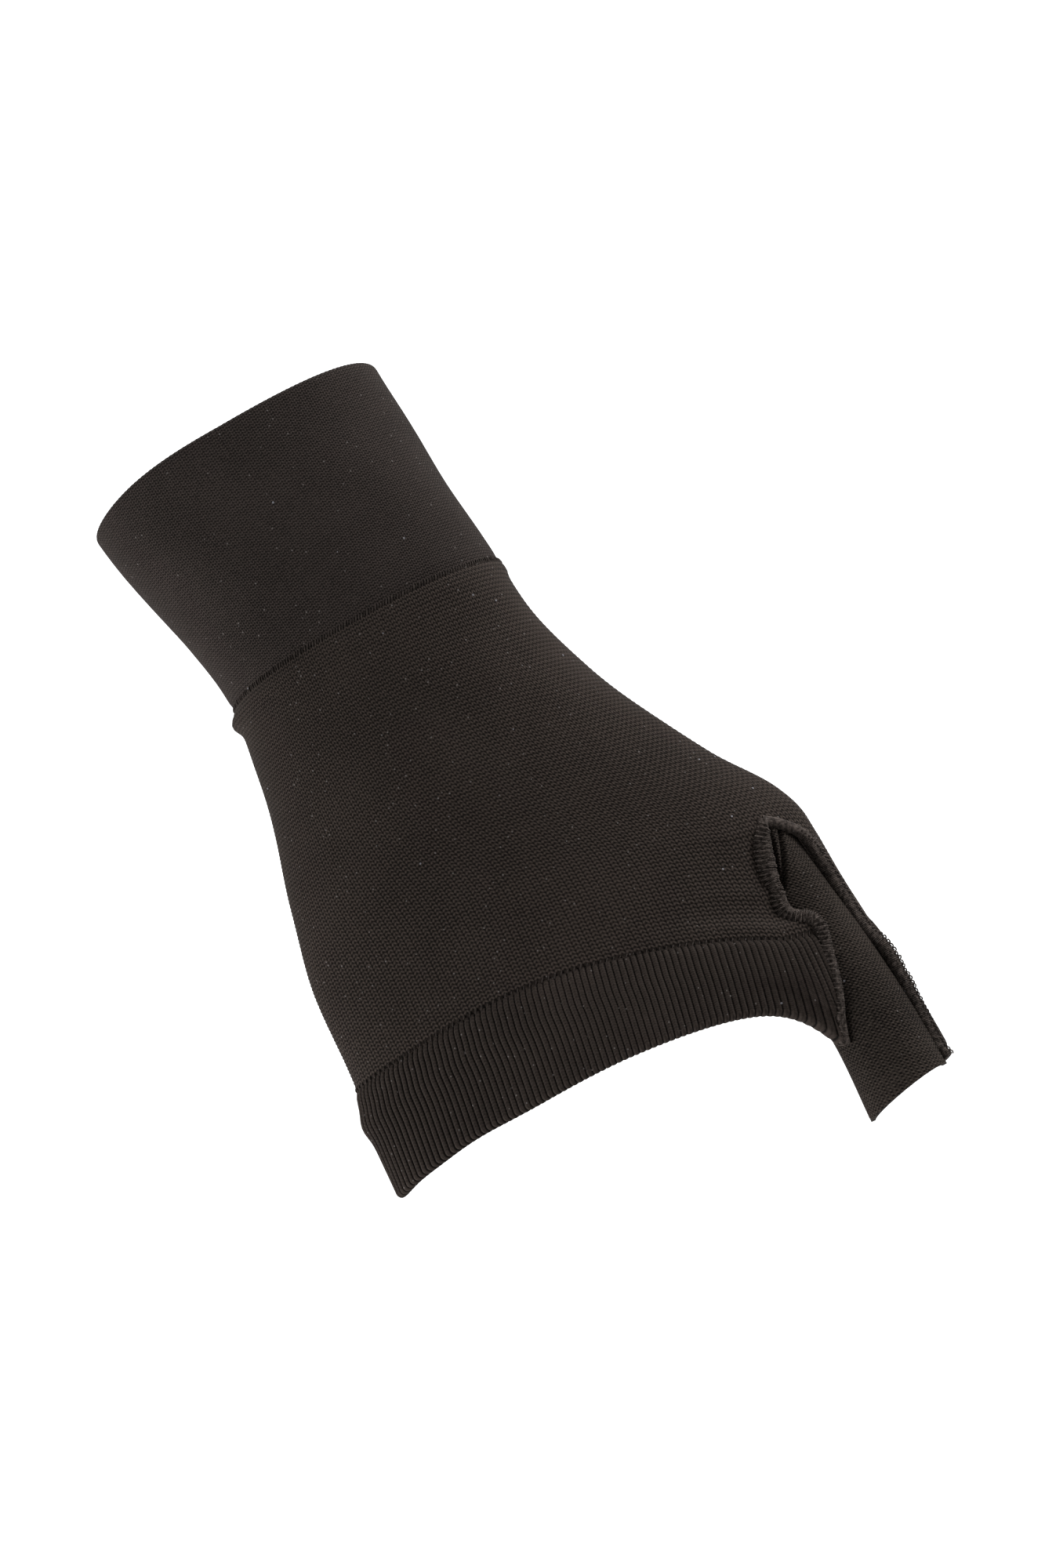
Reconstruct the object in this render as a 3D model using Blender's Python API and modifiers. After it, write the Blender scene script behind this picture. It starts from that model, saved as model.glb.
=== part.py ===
"""A knitted wrist support for the right hand, in its worn shape.

Frame: the fingers point to -Y, the elbow is at +Y, the thumb at +X and the back of the hand at +Z.
The origin is the middle of the wrist. "Reach" is the distance from the wrist towards the fingers.
"""

import math

import bmesh
import bpy
import numpy as np
from mathutils import Vector

# Reach of each line across the sleeve, measured on the back of the hand.
RIM_REACH = -0.0494
JOIN_REACH = -0.006
SLIT_REACH = 0.060
RIB_REACH = 0.0685
FINGER_REACH = 0.0885
THUMB_END_REACH = 0.1195

# How much the rim's fold stands back at the ulnar side and out at the radial side, how far the
# finger edge runs out along the thumb and is hollowed over the palm, and how the stall's end slants.
RIM_ULNAR_RISE = 0.0022
RIM_RADIAL_DIP = 0.0008
RIB_RUN_OUT_ABOVE = 0.0160
RIB_RUN_OUT_BELOW = 0.0210
FINGER_RUN_OUT = 0.0076
FINGER_CORNER = 0.0118
FINGER_RUN_OUT_BELOW = 0.0340
PALM_HOLLOW = 0.0085
STALL_SLANT = 0.0018
STALL_PALM_CUT = 0.0040
STALL_TOP_REACH = 0.0640
STALL_WEB_CUT = 0.0245

# The knit: one ply is PLY thick, and a turned welt is two plies with WELT_GAP between them.
PLY = 0.0009
WELT_GAP = 0.0004
CLEARANCE = 0.0003
LINK_THREAD_RADIUS = 0.00035
RIB_STOP = 0.0011
OVERLOCK_RADIUS = 0.0011
EDGE_MARGIN = 0.0026
TACK_RADIUS = 0.0005
TACK_LENGTH = 0.0026
TACK_REACH = 0.0765

# The worn outline at a few reaches: reach, ulnar x, radial x, height above and below the middle
# plane, and how far the radial side droops towards the palm.
STATIONS = (
    (-0.056, -0.0368, 0.0261, 0.0212, 0.0212, 0.000),
    (-0.040, -0.0352, 0.0265, 0.0208, 0.0205, 0.000),
    (-0.020, -0.0308, 0.0272, 0.0200, 0.0193, 0.000),
    (-0.006, -0.0295, 0.0282, 0.0193, 0.0185, 0.000),
    (0.008, -0.0316, 0.0294, 0.0185, 0.0180, 0.000),
    (0.020, -0.0343, 0.0332, 0.0175, 0.0176, 0.001),
    (0.033, -0.0382, 0.0388, 0.0165, 0.0172, 0.002),
    (0.045, -0.0412, 0.0453, 0.0158, 0.0170, 0.0035),
    (0.057, -0.0427, 0.0528, 0.0152, 0.0165, 0.005),
    (0.067, -0.0435, 0.0546, 0.0150, 0.0158, 0.006),
    (0.081, -0.0454, 0.0550, 0.0147, 0.0154, 0.006),
    (0.094, -0.0464, 0.0560, 0.0142, 0.0156, 0.006),
    (0.120, -0.0466, 0.0566, 0.0138, 0.0156, 0.006),
)

# The thumb stall's middle line and its knit's middle radius: reach, x, z, radius.
STALL_STATIONS = (
    (0.056, 0.0450, -0.0030, 0.0050),
    (0.075, 0.0449, -0.0038, 0.0073),
    (0.090, 0.0455, -0.0040, 0.0080),
    (0.104, 0.0464, -0.0040, 0.0082),
    (0.122, 0.0460, -0.0040, 0.0086),
)

# The dorsal overlock seam's reach and x, from the top of the slit to the ribbed edge's corner.
DORSAL_SEAM = (
    (0.0600, 0.0475),
    (0.0635, 0.0446),
    (0.0730, 0.0424),
    (0.0800, 0.0426),
    (0.0838, 0.0465),
    (0.0880, 0.0462),
    (0.1000, 0.0424),
    (0.1075, 0.0405),
)
PALMAR_SEAM_ANGLE = math.radians(-22)
SLIT_ANGLE = math.radians(-12)

AROUND = 40
AROUND_THUMB = 20
KNIT_BLACK = (0.017, 0.014, 0.013, 1.0)
RIB_BLACK = (0.014, 0.012, 0.011, 1.0)
THREAD_BLACK = (0.024, 0.020, 0.019, 1.0)


def smooth(low, high, value):
    """0 before low, 1 after high, and an even turn between."""
    share = min(max((value - low) / (high - low), 0.0), 1.0)
    return share * share * (3.0 - 2.0 * share)


def along(stations, reach):
    """The stations' values at this reach, on one smooth curve through them."""
    table = np.array(stations)
    reaches = table[:, 0]
    slopes = np.gradient(table[:, 1:], reaches, axis=0)
    reach = min(max(reach, reaches[0]), reaches[-1])
    i = min(int(np.searchsorted(reaches, reach, side="right")) - 1, len(reaches) - 2)
    step = reaches[i + 1] - reaches[i]
    t = (reach - reaches[i]) / step
    start, end = table[i, 1:], table[i + 1, 1:]
    bend_in, bend_out = slopes[i] * step, slopes[i + 1] * step
    return (
        (2 * t**3 - 3 * t**2 + 1) * start
        + (t**3 - 2 * t**2 + t) * bend_in
        + (3 * t**2 - 2 * t**3) * end
        + (t**3 - t**2) * bend_out
    )


def rounded(value, power):
    return math.copysign(abs(value) ** power, value)


def outline(reach, angle, inset):
    """(x, z) on the worn outline: angle 0 is the radial side, and 90 degrees the back of the hand."""
    ulnar, radial, above, below, droop = along(STATIONS, reach)
    half = (radial - ulnar) / 2 - inset
    middle = (radial + ulnar) / 2
    top = math.sin(angle) > 0
    power = (1.08 if top else 0.71) if reach > 0.05 else 0.92
    if -0.01 < reach <= 0.05:
        power = 0.92 + (0.16 if top else -0.21) * smooth(-0.01, 0.05, reach)
    height = (above if top else below) - inset
    x = middle + half * rounded(math.cos(angle), power)
    sag = droop * max(0.0, (x - middle) / half) ** 2
    return x, height * rounded(math.sin(angle), power) - sag


def stall_point(reach, angle, outset=0.0):
    """(x, z) on the thumb stall, outset from the middle of its knit."""
    x, z, radius = along(STALL_STATIONS, reach)
    return x + (radius + outset) * math.cos(angle), z + (radius + outset) * math.sin(angle)


def dorsal_seam_at(reach):
    """(x, z) of the dorsal overlock's middle: it lies on top of the thumb stall."""
    reaches, places = zip(*DORSAL_SEAM)
    x = float(np.interp(reach, reaches, places))
    middle, z, radius = along(STALL_STATIONS, reach)
    lift = radius + PLY / 2 + CLEARANCE + OVERLOCK_RADIUS
    return x, z + math.sqrt(lift**2 - (x - middle) ** 2)


def edge_angle(reach):
    """The outline's angle at the dorsal panel's cut edge; the slit opens from the palmar edge's angle."""
    x, _ = dorsal_seam_at(reach)
    ulnar, radial, _, _, _ = along(STATIONS, reach)
    share = (x - EDGE_MARGIN - (radial + ulnar) / 2) / ((radial - ulnar) / 2)
    return math.acos(rounded(min(share, 0.99), 1 / 1.08))


def sleeve_point(reach, share, inset):
    """A point of the hand tube. Share runs from the dorsal cut edge, over the back of the hand and
    under the palm, to the palmar cut edge; up to the slit's top the two edges meet."""
    opened = smooth(SLIT_REACH, SLIT_REACH + 0.004, reach) ** 0.5
    start = SLIT_ANGLE + (edge_angle(max(reach, SLIT_REACH)) - SLIT_ANGLE) * opened
    end = 2 * math.pi + SLIT_ANGLE
    angle = start + (end - start) * share
    x, z = outline(reach, angle, inset)
    near_edge = max(0.0, 1 - share / 0.14) ** 2 * opened
    if near_edge:
        _, seam_z = dorsal_seam_at(reach)
        _, edge_z = outline(reach, start, inset)
        z += (seam_z + 0.0004 - (inset - PLY / 2) - edge_z) * near_edge
    return Vector((x, -reach, z))


def rim_reach(angle):
    """The forearm rim runs a little shorter on the ulnar side."""
    ulnar, radial = max(0.0, -math.cos(angle)), max(0.0, math.cos(angle))
    return RIM_REACH + RIM_ULNAR_RISE * ulnar**3 - RIM_RADIAL_DIP * radial


def rib_line(share):
    """Where the ribbed welt starts: it runs out along the thumb on both sides."""
    towards_thumb = max(0.0, 1 - share / 0.26)
    under_thumb = max(0.0, (share - 0.72) / 0.28)
    return RIB_REACH + RIB_RUN_OUT_ABOVE * towards_thumb**1.9 + RIB_RUN_OUT_BELOW * under_thumb**2.2


def finger_edge(share):
    """The welt's folded edge: hollowed over the palm, and drawn out along the thumb on both sides."""
    towards_thumb = max(0.0, 1 - share / 0.22)
    palm = smooth(0.50, 0.62, share)
    under_thumb = max(0.0, (share - 0.74) / 0.26)
    out = FINGER_RUN_OUT * towards_thumb**2 + FINGER_CORNER * towards_thumb**10
    return FINGER_REACH + out - PALM_HOLLOW * palm + FINGER_RUN_OUT_BELOW * under_thumb**2


def ply_rows(edge, fold, inset, count):
    """Rows of (reach function, inset) of a turned welt: the outer ply, the fold and the inner ply."""
    bend = (PLY + WELT_GAP) / 2
    way = 1 if fold > edge else -1
    for i in range(count):
        yield (i / (count - 1), 0.0, inset)
    for turn in (45, 90, 135):
        ahead = way * bend * math.sin(math.radians(turn))
        yield (1.0, ahead, inset + bend * (1 - math.cos(math.radians(turn))))
    for i in range(count):
        yield (1 - i / (count - 1), 0.0, inset + 2 * bend)


def loft(name, rows, closed, wall, material):
    """A knitted wall through rows of points. A closed row joins its last point to its first."""
    made = bmesh.new()
    made_rows = []
    for points, shut in zip(rows, closed):
        row = [made.verts.new(p) for p in (points[:-1] if shut else points)]
        made_rows.append(row + [row[0]] if shut else row)
    for one, other in zip(made_rows, made_rows[1:]):
        for j in range(len(one) - 1):
            made.faces.new((one[j], one[j + 1], other[j + 1], other[j]))
    bmesh.ops.recalc_face_normals(made, faces=made.faces)
    mesh = bpy.data.meshes.new(name)
    made.to_mesh(mesh)
    made.free()
    mesh.shade_smooth()
    obj = bpy.data.objects.new(name, mesh)
    parts.objects.link(obj)
    shell = obj.modifiers.new("wall", "SOLIDIFY")
    shell.thickness = wall
    shell.offset = 0
    shell.use_even_offset = True
    mesh.materials.append(material)
    return obj


def thread(name, points, radius, material, cyclic=False, sides=1):
    """A round thread or overlocked ridge along points."""
    curve = bpy.data.curves.new(name, "CURVE")
    curve.dimensions = "3D"
    curve.bevel_depth = radius
    curve.bevel_resolution = sides
    curve.use_fill_caps = not cyclic
    spline = curve.splines.new("POLY")
    spline.points.add(len(points) - 1)
    for spot, point in zip(spline.points, points):
        spot.co = (*point, 1.0)
    spline.use_cyclic_u = cyclic
    obj = bpy.data.objects.new(name, curve)
    parts.objects.link(obj)
    curve.materials.append(material)
    return obj


def knit_material(name, colour, roughness):
    material = bpy.data.materials.new(name)
    material.use_nodes = True
    shader = material.node_tree.nodes["Principled BSDF"]
    shader.inputs["Base Color"].default_value = colour
    shader.inputs["Roughness"].default_value = roughness
    shader.inputs["Metallic"].default_value = 0.0
    return material


def make_forearm_cuff():
    """The forearm cuff: fine jersey turned back on itself at the rim, with both raw ends at the join."""
    start = JOIN_REACH - LINK_THREAD_RADIUS - CLEARANCE
    rows = []
    for share, ahead, inset in ply_rows(start, RIM_REACH, PLY / 2, 5):
        row = []
        for j in range(AROUND + 1):
            angle = 2 * math.pi * j / AROUND
            reach = start + (rim_reach(angle) - start) * share + ahead
            x, z = outline(reach, angle, inset)
            row.append(Vector((x, -reach, z)))
        rows.append(row)
    material = knit_material("cuff_jersey", KNIT_BLACK, 0.82)
    loft("forearm_cuff", rows, [True] * len(rows), PLY, material)


def make_hand_body():
    """The hand tube: one ply of coarser knit, cut open along the thumb from its finger end."""
    start = JOIN_REACH + LINK_THREAD_RADIUS + CLEARANCE
    rows, closed = [], []
    for reach in np.linspace(start, SLIT_REACH, 10):
        rows.append([sleeve_point(reach, j / AROUND, PLY / 2) for j in range(AROUND + 1)])
        closed.append(True)
    for part in (0.12, 0.3, 0.65, 1.0):
        row = []
        for j in range(AROUND + 1):
            share = j / AROUND
            reach = SLIT_REACH + (rib_line(share) - RIB_STOP - SLIT_REACH) * part
            row.append(sleeve_point(reach, share, PLY / 2))
        rows.append(row)
        closed.append(False)
    loft("hand_body", rows, closed, PLY, knit_material("body_knit", KNIT_BLACK, 0.85))


def make_knuckle_rib():
    """The ribbed welt round the knuckles: a 1x1 rib turned back on itself at the finger edge."""
    rows = []
    for part, ahead, inset in ply_rows(RIB_REACH, FINGER_REACH, PLY / 2, 4):
        row = []
        for j in range(AROUND + 1):
            share = j / AROUND
            low = rib_line(share) + RIB_STOP
            reach = low + (finger_edge(share) - low) * part + ahead
            row.append(sleeve_point(reach, share, inset))
        rows.append(row)
    material = knit_material("knuckle_rib", RIB_BLACK, 0.8)
    loft("knuckle_rib", rows, [False] * len(rows), PLY, material)


def make_thumb_stall():
    """The thumb stall: a short tube, cut away towards the palm where the thumb comes in."""
    rows = []
    for part in np.linspace(0.0, 1.0, 8):
        row = []
        for j in range(AROUND_THUMB + 1):
            angle = 2 * math.pi * j / AROUND_THUMB
            off = abs((angle - math.radians(42) + math.pi) % (2 * math.pi) - math.pi)
            top = STALL_TOP_REACH + STALL_WEB_CUT * smooth(math.radians(60), math.radians(115), off)
            cut = STALL_PALM_CUT * max(0.0, -math.sin(angle)) ** 1.5
            end = THUMB_END_REACH - STALL_SLANT * math.cos(angle) - cut
            reach = top + (end - top) * part
            x, z = stall_point(reach, angle)
            row.append(Vector((x, -reach, z)))
        rows.append(row)
    material = knit_material("stall_knit", KNIT_BLACK, 0.9)
    loft("thumb_stall", rows, [True] * len(rows), PLY, material)


def make_cuff_linking():
    """The chain of linking thread that joins the cuff to the hand tube."""
    points = []
    for j in range(AROUND):
        x, z = outline(JOIN_REACH, 2 * math.pi * j / AROUND, PLY / 2)
        points.append(Vector((x, -JOIN_REACH, z)))
    thread("cuff_linking", points, LINK_THREAD_RADIUS, thread_black, cyclic=True, sides=0)


def make_rib_linking():
    """The chain of linking thread that joins the hand tube to the ribbed welt."""
    points = [sleeve_point(rib_line(j / AROUND), j / AROUND, PLY / 2) for j in range(AROUND + 1)]
    thread("rib_linking", points, LINK_THREAD_RADIUS, thread_black, sides=0)


def make_dorsal_overlock():
    """The overlocked seam that binds the dorsal panel's cut edge to the thumb stall."""
    points = []
    for reach in np.linspace(DORSAL_SEAM[0][0] + 0.006, DORSAL_SEAM[-1][0], 20):
        x, z = dorsal_seam_at(reach)
        points.append(Vector((x, -reach, z)))
    thread("dorsal_overlock", points, OVERLOCK_RADIUS, thread_black)


def make_seam_tack():
    """The bar tack that pinches the dorsal overlock at the foot of the slit."""
    points = []
    for step in (-1.0, -0.6, -0.2, 0.2, 0.6, 1.0):
        x, z = dorsal_seam_at(TACK_REACH)
        arch = (OVERLOCK_RADIUS + TACK_RADIUS + CLEARANCE) * (1.1 - 0.25 * step**2)
        points.append(Vector((x + TACK_LENGTH / 2 * step, -TACK_REACH, z + arch)))
    thread("seam_tack", points, TACK_RADIUS, thread_black)


def make_palmar_overlock():
    """The overlocked seam that binds the palmar panel's cut edge to the thumb stall."""
    points = []
    for reach in np.linspace(SLIT_REACH + 0.005, THUMB_END_REACH - 0.001, 20):
        x, z = stall_point(reach, PALMAR_SEAM_ANGLE, PLY / 2 + CLEARANCE + OVERLOCK_RADIUS)
        points.append(Vector((x, -reach, z)))
    thread("palmar_overlock", points, OVERLOCK_RADIUS, thread_black)


for old in list(bpy.data.objects):
    bpy.data.objects.remove(old, do_unlink=True)
parts = bpy.data.collections.new("wrist_support")
bpy.context.scene.collection.children.link(parts)
thread_black = knit_material("seam_thread", THREAD_BLACK, 0.7)

make_forearm_cuff()
make_cuff_linking()
make_hand_body()
make_rib_linking()
make_knuckle_rib()
make_thumb_stall()
make_dorsal_overlock()
make_seam_tack()
make_palmar_overlock()
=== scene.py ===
import math

import bpy
import numpy as np
from mathutils import Matrix, Vector


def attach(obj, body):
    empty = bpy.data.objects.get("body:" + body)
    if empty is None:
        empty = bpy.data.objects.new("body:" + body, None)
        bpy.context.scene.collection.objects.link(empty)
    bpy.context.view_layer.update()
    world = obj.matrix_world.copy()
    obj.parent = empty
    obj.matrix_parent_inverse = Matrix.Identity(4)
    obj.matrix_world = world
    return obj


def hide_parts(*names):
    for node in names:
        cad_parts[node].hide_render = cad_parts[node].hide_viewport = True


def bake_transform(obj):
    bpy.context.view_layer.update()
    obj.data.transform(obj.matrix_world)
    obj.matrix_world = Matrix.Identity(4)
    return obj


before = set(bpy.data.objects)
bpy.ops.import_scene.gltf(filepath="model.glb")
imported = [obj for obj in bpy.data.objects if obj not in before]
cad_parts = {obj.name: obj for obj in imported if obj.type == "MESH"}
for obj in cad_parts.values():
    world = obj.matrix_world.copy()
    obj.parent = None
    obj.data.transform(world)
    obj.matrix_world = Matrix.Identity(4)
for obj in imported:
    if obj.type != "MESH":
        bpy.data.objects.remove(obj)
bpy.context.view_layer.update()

# ---------------------------------------------------------------------------------------------
# Forearm cuff: fine elastic jersey, knitted as a tube and turned back on itself at the rim, so
# that it is two plies thick. Both raw ends are caught in the linking at the wrist. Reach is the
# distance from the wrist towards the fingers, and angle 0 is the thumb side.

RIM, JOIN = -0.0496, -0.006  # reach of the rim's fold and of the linking at the wrist
RIM_SET_BACK, RIM_OUT = 0.0022, 0.0008
WORN = np.array([  # reach, ulnar x, radial x, height above, height below, droop at the thumb
    (-0.056, -0.0368, 0.0261, 0.0212, 0.0212, 0.000),
    (-0.040, -0.0352, 0.0265, 0.0208, 0.0205, 0.000),
    (-0.020, -0.0308, 0.0272, 0.0200, 0.0193, 0.000),
    (-0.006, -0.0295, 0.0282, 0.0193, 0.0185, 0.000),
    (0.008, -0.0316, 0.0294, 0.0185, 0.0180, 0.000),
    (0.020, -0.0343, 0.0332, 0.0175, 0.0176, 0.001),
    (0.033, -0.0382, 0.0388, 0.0165, 0.0172, 0.002),
    (0.045, -0.0412, 0.0453, 0.0158, 0.0170, 0.0035),
    (0.057, -0.0427, 0.0528, 0.0152, 0.0165, 0.005),
    (0.062, -0.0431, 0.0545, 0.0151, 0.0161, 0.0056),
    (0.067, -0.0435, 0.0549, 0.0150, 0.0158, 0.006),
    (0.081, -0.0454, 0.0550, 0.0147, 0.0154, 0.006),
    (0.094, -0.0464, 0.0554, 0.0142, 0.0156, 0.006),
    (0.120, -0.0466, 0.0557, 0.0138, 0.0156, 0.006),
])
PLY = 0.0009
WELT_GAP = 0.0004
CUFF_WALES, CUFF_COURSES, CUFF_ROUND = 168, 74, 336
CUFF_COURSE_HEIGHT = 0.0006
ULNAR_ROLL = (0.0014, -0.0036, 0.0018)  # height, reach and width of a roll of gathered knit
RADIAL_ROLL = (0.0007, -0.0052, 0.0016)
KNUCKLE_ROLL = (0.0009, 0.0752, 0.0028)
JOIN_NOTCH = (-0.0005, -0.0060, 0.0014)
SLACK = 0.00022


def ease(low, high, value):
    share = np.clip((value - low) / (high - low), 0.0, 1.0)
    return share * share * (3.0 - 2.0 * share)


def along(stations, reach):
    """The stations' columns at these reaches, on one smooth curve through them."""
    reach = np.clip(np.asarray(reach, float), stations[0, 0], stations[-1, 0])
    slopes = np.gradient(stations[:, 1:], stations[:, 0], axis=0)
    i = np.clip(np.searchsorted(stations[:, 0], reach, side="right") - 1, 0, len(stations) - 2)
    step = stations[i + 1, 0] - stations[i, 0]
    t = ((reach - stations[i, 0]) / step)[..., None]
    step = step[..., None]
    here, there = stations[i, 1:], stations[i + 1, 1:]
    spots = (2 * t**3 - 3 * t**2 + 1) * here + (t**3 - 2 * t**2 + t) * slopes[i] * step
    spots = spots + (3 * t**2 - 2 * t**3) * there + (t**3 - t**2) * slopes[i + 1] * step
    return np.moveaxis(spots, -1, 0)


def signed_power(value, power):
    return np.sign(value) * np.abs(value) ** power


def worn_outline(reach, angle, inset):
    """x and z on the worn outline, inset from its outer face."""
    ulnar, radial, above, below, droop = along(WORN, reach)
    half = (radial - ulnar) / 2 - inset
    middle = (radial + ulnar) / 2
    top = np.sin(angle) > 0
    power = 0.92 + np.where(top, 0.16, -0.21) * ease(-0.01, 0.05, reach)
    height = np.where(top, above, below) - inset
    x = middle + half * signed_power(np.cos(angle), power)
    sag = droop * np.maximum(0.0, (x - middle) / half) ** 2
    return x, height * signed_power(np.sin(angle), power) - sag


def swell(value, middle, width):
    """1 at the middle, falling off smoothly within a few widths."""
    return np.exp(-(((value - middle) / width) ** 2))


def roll(reach, height, middle, width):
    return height * swell(reach, middle, width)


def puckers(reach, angle):
    """How far the fabric stands proud where the joins gather it, and the slack of worn knit."""
    at_ulnar = swell(angle % (2 * math.pi), math.pi, 0.30)
    at_radial = np.maximum(0.0, np.cos(angle)) ** 8
    gather = at_ulnar * (roll(reach, *ULNAR_ROLL) + roll(reach, *KNUCKLE_ROLL))
    gather = gather + at_radial * roll(reach, *RADIAL_ROLL)
    slack = SLACK * np.sin(3.0 * angle + 95.0 * reach) * np.sin(160.0 * reach + 2.0 * angle)
    return gather + roll(reach, *JOIN_NOTCH) + slack


def even_course(line, angles, inset):
    """One course along line over these angles, as points on the worn outline, with the length
    of fabric up to each."""
    reach = line(angles)
    x, z = worn_outline(reach, angles, inset - puckers(reach, angles))
    lengths = np.concatenate([[0.0], np.cumsum(np.hypot(np.diff(x), np.diff(z)))])
    return x, -reach, z, lengths


def closed_course(line, count, inset):
    """A course all the way round, its stitches evenly spaced: points and their share of the way."""
    x, y, z, lengths = even_course(line, np.linspace(0, 2 * math.pi, 721), inset)
    places = np.linspace(0, lengths[-1], count + 1)
    points = np.stack([np.interp(places, lengths, a) for a in (x, y, z)], axis=1)
    return points, places / lengths[-1]


def knit_mesh(name, courses, stitches, closed):
    """A sheet of knit through courses of points. stitches holds wale and course numbers, which
    become the piece's UV map and the attribute that its relief follows."""
    vertices, numbers, rows = [], [], []
    for points, marks, shut in zip(courses, stitches, closed):
        keep = len(points) - 1 if shut else len(points)
        row = list(range(len(vertices), len(vertices) + keep))
        vertices.extend(points[:keep])
        numbers.extend(marks[:keep])
        rows.append(row + [row[0]] if shut else row)
    faces, corners = [], []
    for i in range(len(rows) - 1):
        for j in range(len(rows[0]) - 1):
            faces.append((rows[i][j], rows[i][j + 1], rows[i + 1][j + 1], rows[i + 1][j]))
            corners += [stitches[i][j], stitches[i][j + 1], stitches[i + 1][j + 1], stitches[i + 1][j]]
    mesh = bpy.data.meshes.new(name)
    mesh.from_pydata([tuple(v) for v in vertices], [], faces)
    uv = mesh.uv_layers.new(name="knit")
    uv.data.foreach_set("uv", np.array(corners)[:, :2].ravel())
    marks = mesh.attributes.new("stitches", "FLOAT_VECTOR", "POINT")
    marks.data.foreach_set("vector", np.array(numbers).ravel())
    mesh.shade_smooth()
    obj = bpy.data.objects.new(name, mesh)
    bpy.context.scene.collection.objects.link(obj)
    return obj


def node(tree, kind, **sockets):
    """A node with values or links on its inputs, by name or by number after an underscore."""
    made = tree.nodes.new(kind)
    settings = ("operation", "blend_type", "data_type", "mode", "feature", "primary_axis", "secondary_axis")
    for key, value in sockets.items():
        if key in settings:
            setattr(made, key, value)
            continue
        socket = made.inputs[int(key[1:]) if key[1:].isdigit() else key.replace("_", " ")]
        if isinstance(value, bpy.types.NodeSocket):
            tree.links.new(value, socket)
        else:
            socket.default_value = value
    return made


def sums(tree, operation, a, b=0.0):
    return node(tree, "ShaderNodeMath", operation=operation, _0=a, _1=b).outputs[0]


def mapped(tree, value, low, high, start, end):
    """start where the value is at low, end where it is at high, and in proportion between them."""
    made = node(tree, "ShaderNodeMapRange", Value=value, From_Min=low, From_Max=high)
    made.inputs["To Min"].default_value = start
    made.inputs["To Max"].default_value = end
    return made.outputs[0]


def carried(tree, name, kind="FLOAT_VECTOR"):
    """A named attribute that the geometry carries."""
    return node(tree, "GeometryNodeInputNamedAttribute", data_type=kind, Name=name).outputs[0]


def relief_tree():
    """Geometry nodes that raise a knit's wales, courses, ribs and purl bumps from its flat sheet."""
    tree = bpy.data.node_groups.new("knit_relief", "GeometryNodeTree")
    face = tree.interface
    face.new_socket("Knit", in_out="INPUT", socket_type="NodeSocketGeometry")
    for label in ("Wale height", "Course height", "Purl height", "Rib height"):
        face.new_socket(label, in_out="INPUT", socket_type="NodeSocketFloat")
    face.new_socket("Yarn", in_out="INPUT", socket_type="NodeSocketMaterial")
    face.new_socket("Knit", in_out="OUTPUT", socket_type="NodeSocketGeometry")
    inputs = tree.nodes.new("NodeGroupInput").outputs
    parts = node(tree, "ShaderNodeSeparateXYZ", _0=carried(tree, "stitches")).outputs
    waves = [sums(tree, "COSINE", sums(tree, "MULTIPLY", parts[axis], 2 * math.pi)) for axis in (0, 1)]
    purl = sums(tree, "MULTIPLY", sums(tree, "MULTIPLY", waves[0], waves[1]), inputs["Purl height"])
    rib = sums(tree, "ABSOLUTE", sums(tree, "SINE", sums(tree, "MULTIPLY", parts[0], math.pi)))
    rib = sums(tree, "SUBTRACT", sums(tree, "POWER", rib, 0.8), 0.7)
    total = sums(tree, "ADD", sums(tree, "MULTIPLY", waves[0], inputs["Wale height"]), purl)
    total = sums(tree, "ADD", total, sums(tree, "MULTIPLY", waves[1], inputs["Course height"]))
    total = sums(tree, "ADD", total, sums(tree, "MULTIPLY", rib, inputs["Rib height"]))
    total = sums(tree, "MULTIPLY", total, parts[2])
    normal = tree.nodes.new("GeometryNodeInputNormal").outputs[0]
    offset = node(tree, "ShaderNodeVectorMath", operation="SCALE", _0=normal, Scale=total)
    moved = node(tree, "GeometryNodeSetPosition", Geometry=inputs["Knit"], Offset=offset.outputs[0])
    whole = node(tree, "GeometryNodeRealizeInstances", Geometry=moved.outputs[0])
    dyed = node(tree, "GeometryNodeSetMaterial", Geometry=whole.outputs[0], Material=inputs["Yarn"])
    out = tree.nodes.new("NodeGroupOutput")
    tree.links.new(dyed.outputs[0], out.inputs[0])
    return tree


def set_inputs(modifier, **values):
    """Sets a geometry nodes modifier's named inputs."""
    for item in modifier.node_group.interface.items_tree:
        key = item.name.replace(" ", "_").lower()
        if item.in_out == "INPUT" and key in values:
            modifier[item.identifier] = values[key]


def as_plain_mesh(obj, sharpen=True):
    """Applies an object's modifiers to its mesh, and removes them."""
    graph = bpy.context.evaluated_depsgraph_get()
    mesh = bpy.data.meshes.new_from_object(obj.evaluated_get(graph))
    name = obj.name
    bpy.data.objects.remove(obj, do_unlink=True)
    made = bpy.data.objects.new(name, mesh)
    mesh.name = name
    bpy.context.scene.collection.objects.link(made)
    if sharpen:
        mesh.set_sharp_from_angle(angle=math.radians(62))
    return made


knit_relief = relief_tree()


def finish_knit(obj, yarn, wale=0.0, course=0.0, purl=0.0, rib=0.0):
    """Raises the knit's relief and gives the sheet its thickness."""
    raised = obj.modifiers.new("relief", "NODES")
    raised.node_group = knit_relief
    set_inputs(raised, wale_height=wale, course_height=course, purl_height=purl, rib_height=rib, yarn=yarn)
    ply = obj.modifiers.new("ply", "SOLIDIFY")
    ply.thickness = PLY
    ply.offset = -1
    return as_plain_mesh(obj)


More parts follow.
